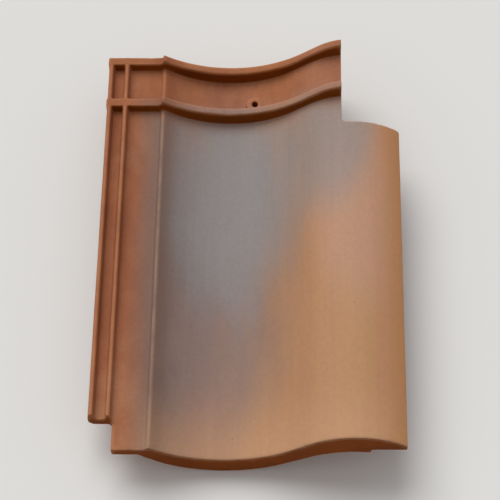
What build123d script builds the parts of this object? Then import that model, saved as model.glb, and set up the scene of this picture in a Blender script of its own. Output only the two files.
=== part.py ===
from build123d import *
import math
import os

# Clay roof tile: an interlocking pantile with an S profile, pressed and fired in one piece.
# Across the tile is X, from the nose up to the head is Y, and the face looks up along Z.
# The origin is on the floor, in the middle of the tile's box. Millimetres and degrees.

# The face, seen from the nose: a hollow pan, a straight flank and a round roll
pan_radius = 86.0
roll_radius = 57.0
flank_angle = 38.5
flank_run = 18.5
rim_angle = 44.0  # slope of the face at its left edge
rim_draft = 5.0  # lean of the side of the face, down to the underlap
cover_angle = 45.0  # slope of the face at the cover edge on the right
joint_gap = 1.5  # open joint between two tiles side by side

# Length and thickness
tile_length = 370.0
head_lap = 76.0  # the stretch that the tile above covers
course_rise = 28.0  # from the face up to the face of the tile above
body = 11.0
arris_round = 2.0

# Nose: the front end, deeper than the body
nose_depth = 22.0  # under the pan
nose_pan_ease = 4.0  # the nose's lower line is flatter than the face, its radii are larger
nose_roll_ease = 7.0
nose_seat_play = 0.5  # between the nose and the roll of the tile below
nose_length = 15.0
nose_slope_length = 8.0  # the back of the nose slopes up to the body
nose_slope_height = 9.0
nose_chamfer = 2.0
foot_rib_depth = 8.0  # second rib under the tile, behind the nose
foot_rib_width = 7.0
rib_round = 2.5

# Side lap: the next tile's cover flange lies over the underlap on the left
cover_tip = 5.4  # height of the cover flange's edge
foot_channel = 28.0  # holds the foot of that cover flange
lap_thickness = 9.0
lap_play = 1.5
lap_chamfer = 3.5
lap_rib_width = 3.0  # at the top
lap_rib_draft = 9.0
lap_rib_play = 4.0  # under the crown of that tile's roll
water_channel = 8.0  # between the two ribs
lap_rib_round = 1.2

# Head lock: two ribs across the head, under the tile above
head_rib_play = 4.0
head_rib_width = 8.0
lock_play = 2.0
corner_play = 3.0
corner_hollow = 4.0

# Hanging nibs: two, level with the lowest line of the nose
nib_width = 20.0  # at the foot
nib_length = 10.0  # at the foot
nib_from_head = 19.0
nib_places = (36.0, 124.0)  # from the left edge of the face
nib_draft = 6.0
nib_round = 2.0

# Nail hole, in a low boss
nail_radius = 2.75
nail_place = 80.0
boss_radius = 7.5
boss_height = 3.0

# The S line, from the left edge of the face
flank_slope = math.radians(flank_angle)
bend_radii = pan_radius + roll_radius
trough_x = pan_radius * math.sin(math.radians(rim_angle))
pan_centre_z = pan_radius * math.cos(math.radians(rim_angle))
trough_z = pan_centre_z - pan_radius
crest_x = trough_x + bend_radii * math.sin(flank_slope) + flank_run * math.cos(flank_slope)
crest_z = trough_z + bend_radii * (1 - math.cos(flank_slope)) + flank_run * math.sin(flank_slope)
roll_centre_z = crest_z - roll_radius
cover_x = crest_x + roll_radius * math.sin(math.radians(cover_angle))
cover_z = roll_centre_z + roll_radius * math.cos(math.radians(cover_angle))
cover_width = cover_x + joint_gap

# Levels
middle_depth = body / 2
nose_z = trough_z - nose_depth
nose_pan_radius = pan_radius + nose_pan_ease
nose_roll_radius = roll_radius + nose_roll_ease
nose_roll_z = crest_z - course_rise + nose_seat_play
foot_z = cover_z - cover_tip
foot_x = crest_x + math.sqrt((roll_radius - body) ** 2 - (foot_z - roll_centre_z) ** 2)
lap_floor_z = foot_z - lap_play
lap_under_z = lap_floor_z - lap_thickness
lap_rib_height = crest_z - body - lap_rib_play - lap_floor_z
head_rib_height = course_rise - body - head_rib_play
tall = crest_z - nose_z + head_rib_height
rim_lean = math.tan(math.radians(rim_draft))

# Places along the tile, from the nose
gauge = tile_length - head_lap
nose_end = nose_length + nose_slope_length
first_rib_end = gauge + nose_end + lock_play + head_rib_width
nail_line = first_rib_end + boss_radius + lock_play / 2
foot_rib_end = nail_line + boss_radius + lock_play + foot_rib_width - gauge
nib_face = tile_length - nib_from_head
corner_y = gauge - lock_play / 2
lap_nose_y = nose_end + corner_play

# Places across the tile, from the left edge of the face
lap_rib_base = lap_rib_width + 2 * lap_rib_height * math.tan(math.radians(lap_rib_draft))
inner_rib_x = -foot_channel - lap_rib_base / 2
outer_rib_x = inner_rib_x - lap_rib_base - water_channel
lap_width = -outer_rib_x + lap_rib_base / 2
nib_root = nib_width + 2 * tall * math.tan(math.radians(nib_draft))
notch_x = cover_width - foot_channel - joint_gap
corner_x = cover_width - lap_width - corner_play

left_x = (lap_width - cover_x) / 2
nose_y = -tile_length / 2
touch = 0.01


def across(distance):
    """Plane across the tile, at a distance from the nose, which it faces."""
    origin = (left_x, nose_y + distance, -nose_z)
    return Plane(origin=origin, x_dir=(1, 0, 0), z_dir=(0, -1, 0))


def level(height):
    """Level plane at a height over the left edge of the face, with its Y from the nose."""
    return Plane(origin=(left_x, nose_y, height - nose_z))


def s_line(low_z, low_radius, high_z, high_radius, left_angle=rim_angle):
    """An S line: the pan's arc with its lowest height, a straight flank, the roll's arc."""
    low_centre = low_z + low_radius
    high_centre = high_z - high_radius
    apart = math.hypot(crest_x - trough_x, low_centre - high_centre)
    lean = math.degrees(math.atan2(crest_x - trough_x, low_centre - high_centre))
    slope = lean - math.degrees(math.acos((low_radius + high_radius) / apart))
    with BuildLine() as line:
        pan = CenterArc((trough_x, low_centre), low_radius, 270 - left_angle, left_angle + slope)
        roll = CenterArc((crest_x, high_centre), high_radius, 90 + slope, -slope - cover_angle)
        Line(pan @ 1, roll @ 0)
    return line.line


def under_face(depth):
    """The S line that runs at an even depth under the face."""
    return s_line(trough_z - depth, pan_radius + depth, crest_z - depth, roll_radius - depth)


def s_band(upper, lower):
    """The closed shape between two S lines."""
    with BuildSketch() as band:
        with BuildLine():
            add(upper)
            Line(upper @ 1, lower @ 1)
            add(lower)
            Line(lower @ 0, upper @ 0)
        make_face()
        # the side of the face leans, with its draft, over the floor of the underlap
        with BuildLine():
            Polyline(
                (-lap_width, lap_floor_z),
                (lap_floor_z * rim_lean, lap_floor_z),
                (tall * rim_lean, tall),
                (-lap_width, tall),
                close=True,
            )
        make_face(mode=Mode.SUBTRACT)
    return band.sketch


def lip(lower, end_x, end_z):
    """Section of a rib under the tile, cut away right of an end and under a height."""
    with BuildSketch() as section:
        add(s_band(middle_line, lower))
        with Locations((end_x, end_z)):
            Rectangle(cover_width, 2 * tall, align=(Align.MIN, Align.MAX), mode=Mode.SUBTRACT)
    return section.sketch


def edges_on(shape, line, distance):
    """The edges of a shape that follow an S line at a distance from the nose."""
    placed = across(distance) * line
    return shape.edges().filter_by(lambda edge: placed.distance_to(edge @ 0.5) < touch)


face_line = under_face(0)
middle_line = under_face(middle_depth)

# Section of the underlap's flange, and of one of its ribs
with BuildSketch() as lap_section:
    with Locations((-lap_width, lap_floor_z)):
        Rectangle(lap_width + body / 4, lap_thickness, align=(Align.MIN, Align.MAX))
    chamfer(lap_section.vertices().sort_by_distance((-lap_width, lap_under_z))[0], lap_chamfer)

with BuildSketch() as lap_rib_section:
    Trapezoid(lap_rib_base, lap_rib_height, 90 - lap_rib_draft, align=(Align.CENTER, Align.MIN))
    fillet(lap_rib_section.vertices().group_by(Axis.Y)[-1], lap_rib_round)

# Shell: underlap, face and cover flange, pressed in one section along the whole tile
with BuildPart() as shell:
    cover_middle = middle_line @ 1
    with BuildSketch(across(tile_length)):
        add(s_band(face_line, under_face(body)))
        with Locations((foot_x, foot_z)):
            Rectangle(roll_radius, body, align=(Align.MIN, Align.MAX), mode=Mode.SUBTRACT)
        # the cover flange ends in an upright edge with a flat foot
        with BuildLine():
            Polyline((cover_x, cover_z), (cover_x, foot_z), (foot_x, foot_z))
            Polyline((foot_x, foot_z), (cover_middle.X, cover_middle.Y), (cover_x, cover_z))
        make_face()
        add(lap_section.sketch)
        with Locations((outer_rib_x, lap_floor_z), (inner_rib_x, lap_floor_z)):
            add(lap_rib_section.sketch)
    extrude(amount=tile_length)
    nose_arris = edges_on(shell, face_line, 0)
    lengthwise = edges_on(shell, face_line, tile_length / 2).sort_by(Axis.X)
    fillet([*nose_arris, lengthwise[0], lengthwise[-1]], arris_round)

# Nose: closes the front, with its lower line flatter than the face
with BuildPart() as nose:
    # its lower line goes on to the left until it meets the underlap
    nose_left = math.degrees(math.acos((nose_z + nose_pan_radius - lap_under_z) / nose_pan_radius))
    nose_line = s_line(nose_z, nose_pan_radius, nose_roll_z, nose_roll_radius, nose_left)
    with BuildSketch(across(nose_end)):
        add(lip(nose_line, notch_x, foot_z))
    extrude(amount=nose_end)
    back = nose.faces().sort_by(Axis.Y)[-1]
    chamfer(edges_on(nose, nose_line, nose_end), nose_slope_height, nose_slope_length, reference=back)
    chamfer(edges_on(nose, nose_line, 0), nose_chamfer)

# Foot rib: hangs between the two head ribs of the tile below
with BuildPart() as foot_rib:
    # its lower line follows the face of the tile below
    foot_depth = body + foot_rib_depth
    foot_line = s_line(trough_z - foot_depth, pan_radius, crest_z - foot_depth, roll_radius)
    with BuildSketch(across(foot_rib_end)):
        add(lip(foot_line, corner_x, tall))
    extrude(amount=foot_rib_width)
    foot_arrises = edges_on(foot_rib, foot_line, foot_rib_end)
    foot_arrises += edges_on(foot_rib, foot_line, foot_rib_end - foot_rib_width)
    fillet(foot_arrises, rib_round)

# Head ribs: across the underlap and the face, one on the head's edge and one below the nail
with BuildPart() as head_ribs:
    # their upper line follows the underside of the tile above
    rib_z = trough_z + head_rib_height
    rib_roll_z = crest_z + head_rib_height
    rib_line = s_line(rib_z, pan_radius + body, rib_roll_z, roll_radius - body)
    for rib_end in (first_rib_end, tile_length):
        with BuildSketch(across(rib_end)):
            add(s_band(rib_line, middle_line))
            with Locations((-lap_width, lap_floor_z - middle_depth)):
                Rectangle(
                    lap_width + middle_depth,
                    lap_rib_height + middle_depth,
                    align=(Align.MIN, Align.MIN),
                )
        extrude(amount=head_rib_width)
        rib_arrises = edges_on(head_ribs, rib_line, rib_end)
        rib_arrises += edges_on(head_ribs, rib_line, rib_end - head_rib_width)
        fillet(rib_arrises, rib_round)
    fillet(head_ribs.edges().filter_by(Axis.X).group_by(Axis.Z)[-1], lap_rib_round)

# Nibs: upright towards the nose, where they hook on the batten, and sloped behind
with BuildPart() as nibs:
    with BuildSketch(across(tile_length)):
        with BuildLine():
            add(middle_line)
            Polyline(middle_line @ 1, (cover_middle.X, nose_z), (0, nose_z), middle_line @ 0)
        make_face()
        with BuildSketch(mode=Mode.PRIVATE) as teeth:
            for place in nib_places:
                with Locations((place, nose_z)):
                    Trapezoid(nib_root, tall, 90 + nib_draft, align=(Align.CENTER, Align.MIN))
        add(teeth.sketch, mode=Mode.INTERSECT)
    extrude(amount=nib_from_head)
    with BuildSketch(Plane(origin=(0, nose_y + tile_length, 0), x_dir=(0, -1, 0), z_dir=(-1, 0, 0))):
        with BuildLine():
            Polyline((0, 0), (nib_from_head - nib_length, 0), (0, nose_depth - body), close=True)
        make_face()
    extrude(amount=cover_width, both=True, mode=Mode.SUBTRACT)
    fillet(nibs.edges().group_by(Axis.Z)[0], nib_round)

# Outline: the corners that four tiles would share are cut away
with BuildPart() as outline:
    with BuildSketch(level(-tall)) as plan:
        with BuildLine():
            Polyline(
                (-foot_channel, 0),
                (cover_x, 0),
                (cover_x, corner_y),
                (corner_x, corner_y),
                (corner_x, tile_length),
                (-lap_width, tile_length),
                (-lap_width, lap_nose_y),
                (-foot_channel, lap_nose_y),
                close=True,
            )
        make_face()
        inner_corners = plan.vertices().sort_by_distance((corner_x, corner_y))[:1]
        inner_corners += plan.vertices().sort_by_distance((-foot_channel, lap_nose_y))[:1]
        fillet(inner_corners, corner_hollow)
    extrude(amount=2 * tall)

with BuildPart() as roof_tile:
    add(shell.part)
    add(nose.part)
    add(foot_rib.part)
    add(head_ribs.part)
    add(nibs.part)
    boss_z = pan_centre_z - math.sqrt(pan_radius**2 - (nail_place - trough_x) ** 2) + boss_height
    with BuildSketch(level(boss_z)):
        with Locations((nail_place, nail_line)):
            Circle(boss_radius)
    extrude(amount=-boss_height - middle_depth)
    with BuildSketch(level(boss_z)):
        with Locations((nail_place, nail_line)):
            Circle(nail_radius)
    extrude(amount=-tall, mode=Mode.SUBTRACT)
    add(outline.part, mode=Mode.INTERSECT)

roof_tile.part.label = "roof_tile"
os.makedirs("parts", exist_ok=True)
export_step(roof_tile.part, "parts/roof_tile.step")
print("cover width", round(cover_width, 1), "gauge", gauge)
print("solids", len(roof_tile.solids()), "valid", roof_tile.part.is_valid)
print("box", roof_tile.part.bounding_box())
print("volume", round(roof_tile.part.volume / 1000), "cm3", "centre", roof_tile.part.center())
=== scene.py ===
# %% [markdown]
# # A flamed clay roof tile
# This notebook dresses one roof tile, pressed from clay and fired in one piece. Its solid comes
# from a CAD program, with the S wave, the side lap, the head ribs, the nose and the nibs at
# their real size. Here it gets what the spray booth and the kiln give it: a flamed coat of
# coloured slip, and a skin that is never quite even.
# The solid's own mesh could simply be painted, but its arrises are sharper than clay can be, so
# a softer skin is cast over it. Its box is kept from the start, because the looks may not
# change the size.

import math

import bmesh
import bpy
from mathutils import Matrix, Vector


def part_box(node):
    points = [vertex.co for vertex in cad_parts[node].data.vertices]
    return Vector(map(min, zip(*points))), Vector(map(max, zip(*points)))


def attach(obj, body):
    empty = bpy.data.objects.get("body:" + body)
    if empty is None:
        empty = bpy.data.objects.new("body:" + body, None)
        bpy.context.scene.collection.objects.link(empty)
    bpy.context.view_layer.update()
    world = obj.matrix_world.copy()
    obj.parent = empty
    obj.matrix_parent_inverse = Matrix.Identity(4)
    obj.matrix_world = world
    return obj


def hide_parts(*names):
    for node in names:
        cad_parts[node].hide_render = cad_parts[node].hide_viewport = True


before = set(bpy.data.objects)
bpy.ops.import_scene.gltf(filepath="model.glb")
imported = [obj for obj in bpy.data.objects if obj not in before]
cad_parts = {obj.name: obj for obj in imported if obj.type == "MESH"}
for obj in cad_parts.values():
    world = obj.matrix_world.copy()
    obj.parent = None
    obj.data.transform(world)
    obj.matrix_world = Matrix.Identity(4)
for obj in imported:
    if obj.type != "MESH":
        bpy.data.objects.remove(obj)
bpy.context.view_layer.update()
MM = 1e3  # millimetres in a metre, for the sizes that are printed
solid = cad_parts["roof_tile"]
low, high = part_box("roof_tile")
print("the tile's box in millimetres:", [round(MM * side) for side in high - low])

# %% [markdown]
# ## Places on the tile
# A tile covers a strip as wide as its cover width and as long as its gauge. The face starts
# right of the underlap, a ribbed flange, and past the gauge lies the head lap with its ribs.
# Colours could be placed in metres, but shares of the cover width and the gauge say at once
# where on the face something sits, and they hold for a tile of another size.

# %% Named places
UNDERLAP = 0.0475  # metres, width of the flange left of the face
COVER_WIDTH = 0.205  # metres that one laid tile covers across
GAUGE = 0.294  # metres that one laid tile covers from nose to head
left_edge = low.x + UNDERLAP
nose_front = low.y


def across(share):
    """Distance along X of a share of the cover width, from the left edge of the face."""
    return left_edge + share * COVER_WIDTH


def up_slope(share):
    """Distance along Y of a share of the gauge, from the nose."""
    return nose_front + share * GAUGE


print("the face starts at x =", round(left_edge, 4), "and its crest is near x =", round(across(0.8), 4))

# %% [markdown]
# ## A finish is a tree of nodes
# Slip is sprayed on, so its colour depends only on where a point lies and which way it faces.
# A painted picture would need the tile unwrapped, and would blur close up. Nodes work it out
# for each point from its place on the object, so the finish runs round every arris unbroken.
# Two short helpers make a material, and add a node with its inputs joined or set.


# %% Materials and nodes
def new_material(name):
    """A node material with only its surface shader; gives the material and the shader."""
    material = bpy.data.materials.new(name)
    material.use_nodes = True
    return material, material.node_tree.nodes["Principled BSDF"]


def join(tree, value, socket):
    """Gives an input a value, or links it where the value is another node's output."""
    if isinstance(value, bpy.types.NodeSocket):
        tree.links.new(value, socket)
    else:
        socket.default_value = value


def node(tree, kind, inputs=None, **settings):
    """Adds a node, sets its properties, and joins or sets each named or numbered input."""
    made = tree.nodes.new(kind)
    for key, value in settings.items():
        setattr(made, key, value)
    for key, value in (inputs or {}).items():
        join(tree, value, made.inputs[key])
    return made


coat, coat_shader = new_material("flamed_slip_on_clay")
tree = coat.node_tree
print("the coat starts with", [each.name for each in tree.nodes])


# %% Sums and soft steps
def calc(tree, operation, *values, clamp=False):
    """A Math node; its result."""
    inputs = dict(enumerate(values))
    return node(tree, "ShaderNodeMath", inputs, operation=operation, use_clamp=clamp).outputs[0]


def times(tree, first, second):
    """The product of two values."""
    return calc(tree, "MULTIPLY", first, second)


def plus(tree, first, second):
    """The sum of two values."""
    return calc(tree, "ADD", first, second)


def ease(tree, value, start, end):
    """0 up to start, 1 from end on, and a soft step between them."""
    inputs = {"Value": value, "From Min": start, "From Max": end}
    return node(tree, "ShaderNodeMapRange", inputs, interpolation_type="SMOOTHSTEP").outputs["Result"]


quarter = 0.25
print("a quarter of its way along, a soft step has risen to", round(3 * quarter**2 - 2 * quarter**3, 2))

# %% Where a point lies and which way it faces
place = node(tree, "ShaderNodeTexCoord")
where = place.outputs["Object"]
spot = node(tree, "ShaderNodeSeparateXYZ", {0: where})
x = spot.outputs["X"]
y = spot.outputs["Y"]
facing = node(tree, "ShaderNodeSeparateXYZ", {0: place.outputs["Normal"]})
faces_up = facing.outputs["Z"]
faces_front = times(tree, facing.outputs["Y"], -1.0)
print("the coat reads", where.name, "for places and", place.outputs["Normal"].name, "for directions")

# %% [markdown]
# ## Clouds that wander
# Spray leaves no straight border. Noise makes the borders wander: `drift` is slow and drawn out
# along the tile, the way the spray passes, and `wobble` is the same noise with 0 as its middle.
# A photograph of real spray could do this too, but it would repeat and would belong to one tile.


# %% Noise
def noise(
    tree, where, per_metre, detail=3.0, roughness=0.5, stretch=(1, 1, 1), distortion=0.0, shift=(0, 0, 0)
):
    """Noise from 0 to 1 with so many waves to the metre; a small stretch number makes them long."""
    placed = node(tree, "ShaderNodeMapping", {"Vector": where, "Scale": stretch, "Location": shift})
    inputs = {
        "Vector": placed.outputs[0],
        "Scale": per_metre,
        "Detail": detail,
        "Roughness": roughness,
        "Distortion": distortion,
    }
    return node(tree, "ShaderNodeTexNoise", inputs).outputs["Fac"]


WOBBLE = 1.4  # from the lowest wobble to the highest
BORDER = 0.02  # metres that a straight border wanders for a wobble of 1
drift = noise(tree, where, per_metre=14, detail=4, roughness=0.55, stretch=(1, 0.35, 1), distortion=0.4)
wobble = times(tree, calc(tree, "SUBTRACT", drift, 0.5), WOBBLE)
wander = times(tree, wobble, BORDER)
print("borders wander up to", round(MM * BORDER * WOBBLE / 2), "mm either way")

# %% [markdown]
# ## Sand over the roll
# The ground colour is a sand slip, with faint pinkish bands along the tile where two passes of
# the spray overlap. On the flank between roll and pan the colour turns a little darker and more
# orange, up to where the roll starts. One flat colour would look like plastic, so a noise
# mixes two near shades.
# `paint` lets us write each colour as a painter reads it.


# %% Colours and mixing
def paint(red, green, blue):
    """A colour as a painter reads it, 0 to 255, turned to the linear light that a shader takes."""

    def linear(part):
        part /= 255
        return part / 12.92 if part <= 0.04045 else ((part + 0.055) / 1.055) ** 2.4

    return (linear(red), linear(green), linear(blue), 1.0)


MIX_INPUTS = (0, 6, 7)  # a Mix node's sockets for the amount and for two colours
MIX_OUTPUT = 2  # and the one for the mixed colour


def blend(tree, amount, first, second, way="MIX"):
    """Mixes two colours; the amount is the share of the second."""
    inputs = dict(zip(MIX_INPUTS, (amount, first, second)))
    made = node(tree, "ShaderNodeMix", inputs, data_type="RGBA", blend_type=way, clamp_factor=True)
    return made.outputs[MIX_OUTPUT]


def spray(tree, under, slip, amount, strength=1.0):
    """Lays a slip over what is there, where the amount is 1 and as thick as the strength."""
    return blend(tree, times(tree, amount, strength), under, slip)


print("paint 255 is", paint(255, 128, 0)[0], "and paint 128 only", round(paint(255, 128, 0)[1], 3))

# %% Sand and the thin flank
SAND = paint(183, 138, 99)
PINK_SAND = paint(183, 134, 104)
# The flank's colour: a little darker and more orange than the sand.
FLANK_ORANGE = paint(180, 134, 99)
bands = noise(tree, where, per_metre=34, detail=2, stretch=(1, 0.04, 0.3), shift=(0.13, 0, 0))
colour = blend(tree, ease(tree, bands, 0.35, 0.65), SAND, PINK_SAND)
flank_rises = ease(tree, x, across(0.25), across(0.50))
flank_ends = ease(tree, x, across(0.67), across(0.60))
colour = spray(tree, colour, FLANK_ORANGE, times(tree, flank_rises, flank_ends))
print("the thin flank is", round(MM * (across(0.60) - across(0.50))), "mm wide at its full strength")

# %% [markdown]
# ## Flames
# The flames are clouds of darker slip: mauve over the left of the pan, blue grey up its middle
# and over the crest near the head, and a warm blush where the crest's cloud thins out. They
# could be brushed on as vertex colours, but those would be lost each time the skin is cast.
# Each flame is a puff of spray, thick in its middle and thin at its rim, so one helper makes
# them all: an oval that falls off softly, with the wobble added to its border.

# %% A soft spot
RIM = 1.3  # squared distance from the middle at which a spot ends, in reaches


def soft_spot(tree, centre, reach, ragged):
    """1 in the middle of an oval spot, falling softly to 0 at its ragged rim."""
    dx = calc(tree, "SUBTRACT", x, across(centre[0]))
    dx = calc(tree, "DIVIDE", dx, reach[0] * COVER_WIDTH)
    dy = calc(tree, "SUBTRACT", y, up_slope(centre[1]))
    dy = calc(tree, "DIVIDE", dy, reach[1] * GAUGE)
    distance = plus(tree, times(tree, dx, dx), times(tree, dy, dy))
    return ease(tree, plus(tree, distance, ragged), RIM, 0.0)


def size_of(reach):
    """Width and length of a spot in millimetres."""
    half = math.sqrt(RIM)
    return [round(2 * MM * half * share * whole) for share, whole in zip(reach, (COVER_WIDTH, GAUGE))]


print("a spot of reach 0.2 and 0.2 is", size_of((0.2, 0.2)), "mm wide and long")

# %% Mauve over the left of the pan
MAUVE = paint(137, 115, 108)
SMOKE = paint(123, 104, 99)
MAUVE_MIDDLE = (0.10, 0.54)
MAUVE_REACH = (0.47, 0.70)
puffs = noise(tree, where, per_metre=27, stretch=(1, 0.5, 1), distortion=0.5, shift=(0.2, 0.1, 0))
smoky_mauve = spray(tree, MAUVE, SMOKE, ease(tree, puffs, 0.36, 0.68), strength=0.75)
mauve = soft_spot(tree, MAUVE_MIDDLE, MAUVE_REACH, wobble)
colour = spray(tree, colour, smoky_mauve, mauve)
print("the mauve cloud is", size_of(MAUVE_REACH), "mm wide and long")

# %% Blue grey up the pan
BLUE_GREY = paint(142, 137, 136)
GREY_MIDDLE = (0.31, 0.86)
GREY_REACH = (0.30, 0.46)
grey = soft_spot(tree, GREY_MIDDLE, GREY_REACH, times(tree, wobble, 1.3))
colour = spray(tree, colour, BLUE_GREY, grey, strength=0.92)
print("the grey cloud is", size_of(GREY_REACH), "mm wide and long")

# %% Blush and cloud on the crest
BLUSH = paint(190, 147, 124)
BLUSH_MIDDLE = (0.82, 0.71)
BLUSH_REACH = (0.21, 0.36)
CREST_MIDDLE = (0.69, 1.03)
CREST_REACH = (0.21, 0.34)
blush = soft_spot(tree, BLUSH_MIDDLE, BLUSH_REACH, times(tree, wobble, 0.6))
colour = spray(tree, colour, BLUSH, blush, strength=0.7)
crest_cloud = soft_spot(tree, CREST_MIDDLE, CREST_REACH, times(tree, wobble, 0.8))
colour = spray(tree, colour, BLUE_GREY, crest_cloud, strength=0.72)
print("the blush is", size_of(BLUSH_REACH), "and the crest's cloud", size_of(CREST_REACH), "mm")

# %% [markdown]
# ## The borders of the face
# The face changes along each border. It is darker and browner towards the left rim, warmer and
# more orange towards the cover edge, and along the nose the sand lies thickest.
# More soft spots could do this too, but the borders are straight, so soft steps along X and Y
# are enough.

# %% Left rim, toe and cover edge
EDGE_BROWN = paint(124, 98, 86)
TOE_SAND = paint(194, 148, 111)
WARM_ORANGE = paint(182, 128, 83)
TOE_LENGTH = 0.21  # of the gauge
TOE_AT_LEFT = 0.32  # strength of the toe's sand at the left edge
CREST_ADDS = 0.5
left_shade = ease(tree, x, across(0.10), across(0.0))
colour = spray(tree, colour, EDGE_BROWN, left_shade, strength=0.8)
toe = ease(tree, plus(tree, y, wander), up_slope(TOE_LENGTH), up_slope(0.0))
to_crest = ease(tree, x, across(0.05), across(0.70))
toe_strength = calc(tree, "MULTIPLY_ADD", to_crest, CREST_ADDS, TOE_AT_LEFT)
colour = spray(tree, colour, TOE_SAND, toe, strength=toe_strength)
right_shade = ease(tree, x, across(0.85), across(1.03))
colour = spray(tree, colour, WARM_ORANGE, right_shade)
print("the toe's sand fades out", round(MM * TOE_LENGTH * GAUGE), "mm from the nose")

# %% [markdown]
# ## Laps, nose and underside
# The underlap and the head lap are covered once the tile is laid, so the spray only dusts them,
# and the underside stays bare. Bare clay is red, with darker clouds from the kiln and a pale
# bloom of lime. The nose's front stands upright under the spray, so it gets a thin coat of its
# own that fires to a dark brown, and painted shade makes that brown darker still. The laps are
# told by their place, and the nose and the underside by the way they face, with a ragged border
# below, as spray creeps round an edge.
# A vertex group could mark them too, but it would be made anew whenever the solid changes.

# %% Red clay, kiln clouds and lime bloom
RED_CLAY = paint(176, 106, 66)
DARK_CLAY = paint(150, 86, 54)
BLOOM = paint(198, 148, 112)
KILN_CLOUDS = 26  # to the metre
clay_cloud = noise(tree, where, KILN_CLOUDS, detail=5, roughness=0.62, stretch=(1, 0.5, 1))
lime = noise(tree, where, per_metre=11, detail=5, roughness=0.6, shift=(0.4, 0.2, 0))
clay = spray(tree, RED_CLAY, DARK_CLAY, ease(tree, clay_cloud, 0.3, 0.7))
clay = spray(tree, clay, BLOOM, ease(tree, lime, 0.5, 0.75), strength=0.45)
print("kiln clouds on bare clay are about", round(MM / KILN_CLOUDS), "mm across")

# %% Laps
LEAST_BARE = 0.6  # share of bare clay on the laps where most slip landed
CLOUD_ADDS = 0.4
past_left_edge = ease(tree, plus(tree, x, wander), across(0.0), across(-0.13))
past_gauge = ease(tree, calc(tree, "SUBTRACT", y, wander), up_slope(1.03), up_slope(1.16))
lap = calc(tree, "MAXIMUM", past_left_edge, past_gauge)
bareness = calc(tree, "ADD", LEAST_BARE, times(tree, clay_cloud, CLOUD_ADDS), clamp=True)
colour = spray(tree, colour, clay, lap, strength=bareness)
print("the left lap turns bare within", round(MM * (across(0.0) - across(-0.13))), "mm of the face")
print("the head lap turns bare over", round(MM * (up_slope(1.16) - up_slope(1.03))), "mm")

# %% Nose
# The nose's browns are its own dark coat with painted shade: darker than the fired coat.
NOSE_BROWN_AND_SHADE = paint(125, 60, 4)
NOSE_SMOKE_AND_SHADE = paint(109, 50, 3)
FRONT_FROM = 0.3  # forward part of the normal where the nose's coat starts
FRONT_FULL = 0.85
front = ease(tree, faces_front, FRONT_FROM, FRONT_FULL)
nose_cloud = noise(tree, where, per_metre=48, detail=4, roughness=0.6, stretch=(0.45, 1, 1))
nose_coat_and_shade = spray(tree, NOSE_BROWN_AND_SHADE, NOSE_SMOKE_AND_SHADE, ease(tree, nose_cloud, 0.3, 0.7))
colour = spray(tree, colour, nose_coat_and_shade, front)
turns = [round(math.degrees(math.asin(share))) for share in (FRONT_FROM, FRONT_FULL)]
print("the nose's coat starts and is full where the surface turns forward by degrees", turns)

# %% Underside
UNDER_FROM = -0.2  # upward part of the normal where bare clay starts to show
UNDER_FULL = -0.65
ragged = times(tree, calc(tree, "SUBTRACT", clay_cloud, 0.5), 0.6)
under = ease(tree, plus(tree, faces_up, ragged), UNDER_FROM, UNDER_FULL)
colour = spray(tree, colour, clay, under)
bare = calc(tree, "MAXIMUM", under, lap)
print("the coat has", len(tree.nodes), "nodes now")

# %% [markdown]
# ## Arrises
# Slip runs thin over a rounded arris, so the clay glows through there in a pale line, and the
# line is also a painted highlight, where the rounded arris catches the light: it is laid on arrises
# that face up or forward. On bare clay, handling has worn the same arrises a little paler. A
# Bevel node could find them, but it is slow and works in only one of Blender's renderers. The
# skin that is cast later carries an attribute named arris instead, 1 where the clay stands proud,
# and a slow noise makes the line come and go.

# %% Pale arrises: thin slip, worn clay and painted highlight
# A pale edge colour: thin slip over the arris, and painted highlight.
THIN_SLIP_AND_HIGHLIGHT = paint(180, 142, 114)
RUBBED_CLAY = paint(196, 134, 94)
LEAST_RUB_AND_HIGHLIGHT = 0.10  # share of the paler colour that every arris takes on
BARE_ADDS_RUB = 0.10
RUB_AND_HIGHLIGHT_VARIES = 0.25
proud_places = node(tree, "ShaderNodeAttribute", attribute_name="arris")
arris_line = ease(tree, proud_places.outputs["Fac"], 0.1, 0.9)
rub_and_highlight_noise = ease(tree, noise(tree, where, per_metre=60), 0.25, 0.75)
least_rub_and_highlight = calc(tree, "MULTIPLY_ADD", bare, BARE_ADDS_RUB, LEAST_RUB_AND_HIGHLIGHT)
rubbed_and_highlit = times(tree, arris_line, calc(tree, "MULTIPLY_ADD", rub_and_highlight_noise, RUB_AND_HIGHLIGHT_VARIES, least_rub_and_highlight))
# Painted highlight: the pale line goes only on arrises that face up or forward, towards the light.
open_and_lit_above = ease(tree, faces_up, -0.5, 0.2)
open_and_lit_arris = calc(tree, "MAXIMUM", open_and_lit_above, times(tree, front, 0.8))
arris_colour_and_highlight = blend(tree, bare, THIN_SLIP_AND_HIGHLIGHT, RUBBED_CLAY)
colour = spray(tree, colour, arris_colour_and_highlight, rubbed_and_highlit, strength=open_and_lit_arris)
most_rub_and_highlight = LEAST_RUB_AND_HIGHLIGHT + BARE_ADDS_RUB + RUB_AND_HIGHLIGHT_VARIES
print("an arris takes on", LEAST_RUB_AND_HIGHLIGHT, "to", round(most_rub_and_highlight, 2), "of the paler colour")

# %% [markdown]
# ## Grain
# Fired clay is never one colour. Faint streaks run the way the press and the spray went,
# droplets of slip leave a slight mottle, sand shows most where the clay is bare, and a few dark
# specks are iron in the clay. The first three only brighten or darken by a factor near 1, so
# the colours above stay as they were written. One noise could do it all, but each of these has
# a size and a direction of its own.


# %% Streaks, mottle and sand
def factor(tree, amount, depth):
    """A brightness between 1 - depth and 1 + depth, for an amount between 0 and 1."""
    swing = calc(tree, "SUBTRACT", amount, 0.5)
    return calc(tree, "MULTIPLY_ADD", swing, times(tree, depth, 2.0), 1.0)


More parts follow.
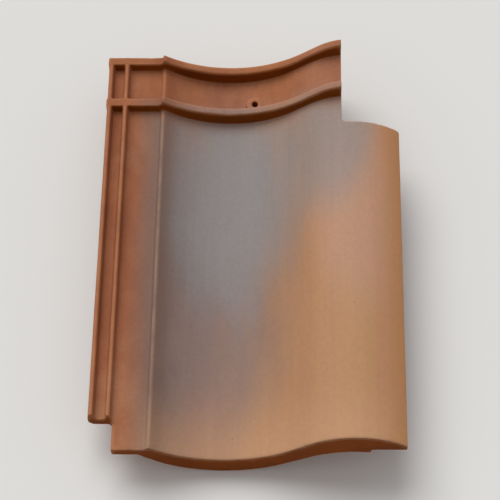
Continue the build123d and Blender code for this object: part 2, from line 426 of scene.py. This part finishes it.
STREAK_DEPTH = 0.06
MOTTLE_DEPTH = 0.025
SAND_DEPTH = 0.05
BARE_ADDS_SAND = 0.05
SAND_GRAINS = 1300  # to the metre
streaks = noise(tree, where, per_metre=150, roughness=0.6, stretch=(1, 0.04, 1))
mottle = ease(tree, noise(tree, where, per_metre=260, roughness=0.6), 0.3, 0.7)
grain = noise(tree, where, SAND_GRAINS, roughness=0.7)
sand = ease(tree, grain, 0.3, 0.7)
sand_depth = calc(tree, "MULTIPLY_ADD", bare, BARE_ADDS_SAND, SAND_DEPTH)
for amount, depth in ((streaks, STREAK_DEPTH), (mottle, MOTTLE_DEPTH), (sand, sand_depth)):
    colour = blend(tree, 1.0, colour, factor(tree, amount, depth), "MULTIPLY")
print("grains of sand are about", round(MM / SAND_GRAINS, 1), "mm across")

# %% Iron specks
IRON = paint(84, 62, 52)
SPECKS = 130  # to the metre
LARGEST_SPECK = 0.14  # reach of a speck, as a share of the way to the next
SPECK_CORE = 0.02  # the part of it that is darkest
inputs = {"Vector": where, "Scale": SPECKS, "Randomness": 1.0}
specks = node(tree, "ShaderNodeTexVoronoi", inputs)
speck_size = times(tree, noise(tree, where, per_metre=40, detail=1), LARGEST_SPECK)
speck = ease(tree, specks.outputs["Distance"], speck_size, SPECK_CORE)
colour = spray(tree, colour, IRON, speck, strength=0.5)
join(tree, colour, coat_shader.inputs["Base Color"])
apart = MM / SPECKS
print("specks lie about", round(apart, 1), "mm apart and reach", round(apart * LARGEST_SPECK, 1), "mm")

# %% [markdown]
# ## Gloss and touch
# Slip fires to a dull sheen, and bare clay and the nose are duller still, so the roughness
# follows the same masks. The specular level is one low number for the whole coat. Bump adds
# what is too shallow to show in the outline: soft swells, sand, pits at the specks and the
# ridges of the streaks. As mesh, this would take millions of triangles.

# %% Roughness
SLIP_ROUGHNESS = 0.48
GRAIN_ADDS = 0.14
BARE_ADDS = 0.22
SPECULAR = 0.12
dull = calc(tree, "MAXIMUM", bare, front)
rough = plus(tree, times(tree, grain, GRAIN_ADDS), SLIP_ROUGHNESS)
rough = plus(tree, rough, times(tree, dull, BARE_ADDS))
join(tree, rough, coat_shader.inputs["Roughness"])
join(tree, SPECULAR, coat_shader.inputs["Specular IOR Level"])
print("roughness runs from", SLIP_ROUGHNESS, "to", round(SLIP_ROUGHNESS + GRAIN_ADDS + BARE_ADDS, 2))

# %% Bump
BUMP_HEIGHT = 0.0008  # metres for a height of 1
BUMP_STRENGTH = 0.6
SWELL_HEIGHT = 0.8
SAND_HEIGHT = 0.07
BARE_ADDS_HEIGHT = 0.06
PIT_DEPTH = 0.15
RIDGE_HEIGHT = 0.06
swells = noise(tree, where, per_metre=45, stretch=(1, 0.5, 1))
sand_height = calc(tree, "MULTIPLY_ADD", bare, BARE_ADDS_HEIGHT, SAND_HEIGHT)
touch = plus(tree, times(tree, swells, SWELL_HEIGHT), times(tree, sand, sand_height))
touch = calc(tree, "SUBTRACT", touch, times(tree, speck, PIT_DEPTH))
touch = plus(tree, touch, times(tree, streaks, RIDGE_HEIGHT))
inputs = {"Height": touch, "Strength": BUMP_STRENGTH, "Distance": BUMP_HEIGHT}
bump = node(tree, "ShaderNodeBump", inputs)
join(tree, bump.outputs["Normal"], coat_shader.inputs["Normal"])
print("the soft swells of the bump are up to", round(MM * BUMP_HEIGHT * SWELL_HEIGHT, 2), "mm high")
print("the finished coat has", len(tree.nodes), "nodes and", len(tree.links), "links")

# %% [markdown]
# ## From crisp solid to moulded clay
# The CAD mesh has long flat facets and knife-sharp arrises. A pressed tile has none: the plaster
# mould rounds each corner, and drying and firing leave the faces slightly uneven. Bump could
# fake that on the faces, but the outline against the floor would stay sharp, and a Bevel
# modifier often trips over long thin facets. So we cast a fresh skin: weld the facets, fill the
# shape with voxels under a millimetre, and smooth it a little.

# %% Weld the solid's facets
WELD = 1e-6  # metres
welded = solid.data.copy()
loose = bmesh.new()
loose.from_mesh(welded)
bmesh.ops.remove_doubles(loose, verts=loose.verts, dist=WELD)
loose.to_mesh(welded)
loose.free()
welded.materials.clear()
print("welding takes", len(solid.data.vertices), "points down to", len(welded.vertices))

# %% A fine skin over the solid
VOXEL = 0.0009  # metres
SOFTENING = 8  # rounds of smoothing
skin = bpy.data.objects.new("fired_clay_tile", welded)
bpy.context.scene.collection.objects.link(skin)
voxels = skin.modifiers.new("voxels", "REMESH")
voxels.mode = "VOXEL"
voxels.voxel_size = VOXEL
softened = skin.modifiers.new("softened", "SMOOTH")
softened.factor = 0.5
softened.iterations = SOFTENING
print("the skin is cast on voxels of", MM * VOXEL, "mm")

# %% [markdown]
# ## Kiln relief with Geometry Nodes
# The relief follows one rule everywhere: a slow swell, a fine grain, and small chips where the
# clay stands proud. Sculpting it by hand would be slow, so a node tree makes it, with a named
# input for each size and a seed for the noise. A point stands proud where it lies outside the
# average of its neighbours, which is what Blur Attribute measures. The tree also keeps that
# measure as the attribute arris, for the coat.

# %% The tree and its inputs
RELIEF = {
    "Swell Depth": 0.00022,
    "Swell Size": 0.045,
    "Grain Depth": 0.00004,
    "Grain Size": 0.0035,
    "Chip Depth": 0.0006,
    "Chip Size": 0.011,
    "Seed": 7,
}


def relief_tree(sizes):
    """A geometry tree with a named input for each size, and one for the material."""
    made = bpy.data.node_groups.new("kiln_relief", "GeometryNodeTree")
    made.interface.new_socket("Geometry", in_out="INPUT", socket_type="NodeSocketGeometry")
    made.interface.new_socket("Geometry", in_out="OUTPUT", socket_type="NodeSocketGeometry")
    for name, value in sizes.items():
        kind = "NodeSocketInt" if isinstance(value, int) else "NodeSocketFloat"
        made.interface.new_socket(name, in_out="INPUT", socket_type=kind).default_value = value
    made.interface.new_socket("Clay", in_out="INPUT", socket_type="NodeSocketMaterial")
    return made


relief = relief_tree(RELIEF)
given = node(relief, "NodeGroupInput").outputs
print("the relief has the inputs", list(RELIEF))

# %% Where the clay stands proud
BLUR_ROUNDS = 10
PROUD_FROM = 0.00005  # metres outside the average at which an arris starts
PROUD_FULL = 0.00045
position = node(relief, "GeometryNodeInputPosition").outputs[0]
normal = node(relief, "GeometryNodeInputNormal").outputs[0]
inputs = {"Value": position, "Iterations": BLUR_ROUNDS}
blurred = node(relief, "GeometryNodeBlurAttribute", inputs, data_type="FLOAT_VECTOR")
inputs = {0: position, 1: blurred.outputs[0]}
outside = node(relief, "ShaderNodeVectorMath", inputs, operation="SUBTRACT").outputs[0]
proud = node(relief, "ShaderNodeVectorMath", {0: outside, 1: normal}, operation="DOT_PRODUCT")
arris = ease(relief, proud.outputs["Value"], PROUD_FROM, PROUD_FULL)
inputs = {"Geometry": given["Geometry"], "Name": "arris", "Value": arris}
marked = node(relief, "GeometryNodeStoreNamedAttribute", inputs, data_type="FLOAT", domain="POINT")
stands_out = [round(MM * metres, 2) for metres in (PROUD_FROM, PROUD_FULL)]
print("an arris starts and is full where it stands out by millimetres", stands_out)


# %% Swell, grain and chips
def relief_noise(size, detail):
    """Noise from -1 to 1 at the points of the mesh, with waves of a size."""
    per_metre = calc(relief, "DIVIDE", 1.0, size)
    inputs = {"Vector": position, "W": given["Seed"], "Scale": per_metre, "Detail": detail}
    made = node(relief, "ShaderNodeTexNoise", inputs, noise_dimensions="4D")
    return calc(relief, "MULTIPLY_ADD", made.outputs["Fac"], 2.0, -1.0)


swell = times(relief, relief_noise(given["Swell Size"], 2.0), given["Swell Depth"])
fine = times(relief, relief_noise(given["Grain Size"], 3.0), given["Grain Depth"])
broken = ease(relief, relief_noise(given["Chip Size"], 1.0), 0.2, 0.7)
chips = times(relief, times(relief, broken, arris), given["Chip Depth"])
height = calc(relief, "SUBTRACT", plus(relief, swell, fine), chips)
furthest = RELIEF["Swell Depth"] + RELIEF["Grain Depth"]
print("swell and grain move a point by at most", round(MM * furthest, 2), "mm")

# %% Move the points and hand the mesh on
offset = node(relief, "ShaderNodeVectorMath", {0: normal, "Scale": height}, operation="SCALE")
inputs = {"Geometry": marked.outputs[0], "Offset": offset.outputs[0]}
moved = node(relief, "GeometryNodeSetPosition", inputs)
smooth = node(relief, "GeometryNodeSetShadeSmooth", {"Geometry": moved.outputs[0]})
whole = node(relief, "GeometryNodeRealizeInstances", {"Geometry": smooth.outputs[0]})
inputs = {"Geometry": whole.outputs[0], "Material": given["Clay"]}
fired = node(relief, "GeometryNodeSetMaterial", inputs)
node(relief, "NodeGroupOutput", {"Geometry": fired.outputs[0]})
print("the relief tree has", len(relief.nodes), "nodes")


# %% Put the relief on the skin
def socket_of(tree, name):
    """The identifier of a group input, by its name."""
    return next(item.identifier for item in tree.interface.items_tree if item.name == name)


relief_step = skin.modifiers.new("kiln_relief", "NODES")
relief_step.node_group = relief
for name, value in RELIEF.items():
    relief_step[socket_of(relief, name)] = value
relief_step[socket_of(relief, "Clay")] = coat
print("the skin's modifiers are", [step.name for step in skin.modifiers])

# %% [markdown]
# ## Fire the skin
# The voxels leave far more triangles than the broad faces need, so Decimate keeps about a
# quarter of them, most of them at arrises and ribs. It comes last, because the relief needs the
# full mesh to feel each arris. Then the result becomes a plain mesh with no modifiers. Swells may
# reach past the solid by a hair, so each point is held inside the solid's box.

# %% Thin out and cast a plain mesh
KEPT_SHARE = 0.26  # of the triangles
thinned = skin.modifiers.new("thinned", "DECIMATE")
thinned.ratio = KEPT_SHARE
evaluated = skin.evaluated_get(bpy.context.evaluated_depsgraph_get())
cast = bpy.data.meshes.new_from_object(evaluated)
cast.name = "fired_clay_tile"
skin.modifiers.clear()
skin.data = cast
triangles = sum(len(face.vertices) - 2 for face in cast.polygons)
print("the skin has", triangles, "triangles, all in", [material.name for material in cast.materials])

# %% Hold the skin inside the solid's box
top = max(point.co.z for point in cast.vertices)
for point in cast.vertices:
    point.co = [min(max(value, least), most) for value, least, most in zip(point.co, low, high)]
print("the skin's top is", round(MM * (high.z - top), 2), "mm under the solid's top")

# %% Put the skin in the solid's place
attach(skin, "root")
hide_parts("roof_tile")
print("the skin", skin.name, "now stands for the solid")

# %% [markdown]
# ## Floor
# A plain pale floor catches the shadow, which shows how the tile stands on its nose and nibs. It
# is one large square. A curved backdrop isn't needed, because the world behind it has the same
# pale colour.

# %% A pale floor
FLOOR_REACH = 6.0  # metres from the tile to the floor's edge
FLOOR_COLOUR = (0.78, 0.77, 0.75, 1)
floor_mesh = bpy.data.meshes.new("floor")
corners = [(sx * FLOOR_REACH, sy * FLOOR_REACH, 0.0) for sx, sy in ((-1, -1), (1, -1), (1, 1), (-1, 1))]
floor_mesh.from_pydata(corners, [], [(0, 1, 2, 3)])
floor = bpy.data.objects.new("floor", floor_mesh)
bpy.context.scene.collection.objects.link(floor)
floor_material, floor_shader = new_material("pale_floor")
floor_shader.inputs["Base Color"].default_value = FLOOR_COLOUR
floor_shader.inputs["Roughness"].default_value = 0.9
floor_mesh.materials.append(floor_material)
print("the floor is", 2 * FLOOR_REACH, "metres square")

# %% [markdown]
# ## Light
# The key comes from behind the head and above, very soft, like daylight through cloud: the face
# is lit and the nose's front stays in its own shade. An area lamp would light the floor
# unevenly, so it is a sun with a wide angle. The world fills the shadows. To the camera, to
# reflections and through glass the world shows a pale backdrop instead, which Light Path picks,
# so the background can be chosen without lighting the tile more.

# %% Soft key
KEY_FROM = Vector((-0.5, 1.0, 1.5))
KEY_STRENGTH = 1.9
KEY_SPREAD = 50  # degrees
key_data = bpy.data.lights.new("overcast_key", "SUN")
key_data.energy = KEY_STRENGTH
key_data.angle = math.radians(KEY_SPREAD)
key = bpy.data.objects.new("overcast_key", key_data)
key.rotation_euler = (-KEY_FROM).to_track_quat("-Z", "Y").to_euler()
bpy.context.scene.collection.objects.link(key)
print("the key stands", round(math.degrees(math.asin(KEY_FROM.normalized().z))), "degrees high")

# %% Sky and backdrop
SKY_STRENGTH = 0.44
BACKDROP = (0.74, 0.73, 0.71, 1)
world = bpy.data.worlds.new("studio")
world.use_nodes = True
bpy.context.scene.world = world
sky_tree = world.node_tree
sky = sky_tree.nodes["Background"]
sky.inputs["Color"].default_value = (1, 1, 1, 1)
sky.inputs["Strength"].default_value = SKY_STRENGTH
backdrop = node(sky_tree, "ShaderNodeBackground", {"Color": BACKDROP, "Strength": 1.0})
rays = node(sky_tree, "ShaderNodeLightPath").outputs
seen = plus(sky_tree, rays["Is Camera Ray"], rays["Is Glossy Ray"])
seen = calc(sky_tree, "ADD", seen, rays["Is Transmission Ray"], clamp=True)
chosen = node(sky_tree, "ShaderNodeMixShader", {0: seen, 1: sky.outputs[0], 2: backdrop.outputs[0]})
join(sky_tree, chosen.outputs[0], sky_tree.nodes["World Output"].inputs["Surface"])
print("key", KEY_STRENGTH, "and sky", SKY_STRENGTH)

# %% [markdown]
# ## Camera
# The camera keeps the place that the photograph was taken from, in front of the nose and high
# over the face, and a longer lens frames one tile. Its roll is set by the direction that lies
# level in the picture. A tracking constraint would be simpler, but it can't hold that roll.

# %% Camera
FACE_HEIGHT = 0.0461  # metres over the floor at the left end of the face's front arris
CAMERA_PLACE = Vector((0.606, -2.984, 6.652))  # from that corner, in cover widths
LEVEL = Vector((1.0, 0.014, -0.023))  # the direction that is level in the picture
AIM = Vector((0.0, 0.002, 0.030))  # the point in the middle of the picture
LENS = 138  # millimetres
FARTHEST = 50  # metres that the camera sees
face_corner = Vector((left_edge, nose_front, FACE_HEIGHT))
eye = face_corner + COVER_WIDTH * CAMERA_PLACE
back = (eye - AIM).normalized()
right = (LEVEL - LEVEL.dot(back) * back).normalized()
up = back.cross(right)
camera_data = bpy.data.cameras.new("camera")
camera_data.lens = LENS
camera_data.clip_end = FARTHEST
camera = bpy.data.objects.new("camera", camera_data)
camera.matrix_world = Matrix.Translation(eye) @ Matrix((right, up, back)).transposed().to_4x4()
bpy.context.scene.collection.objects.link(camera)
bpy.context.scene.camera = camera
bpy.context.scene.view_settings.view_transform = "Standard"
print("the camera looks down at", round(math.degrees(math.asin(back.z)), 1), "degrees")
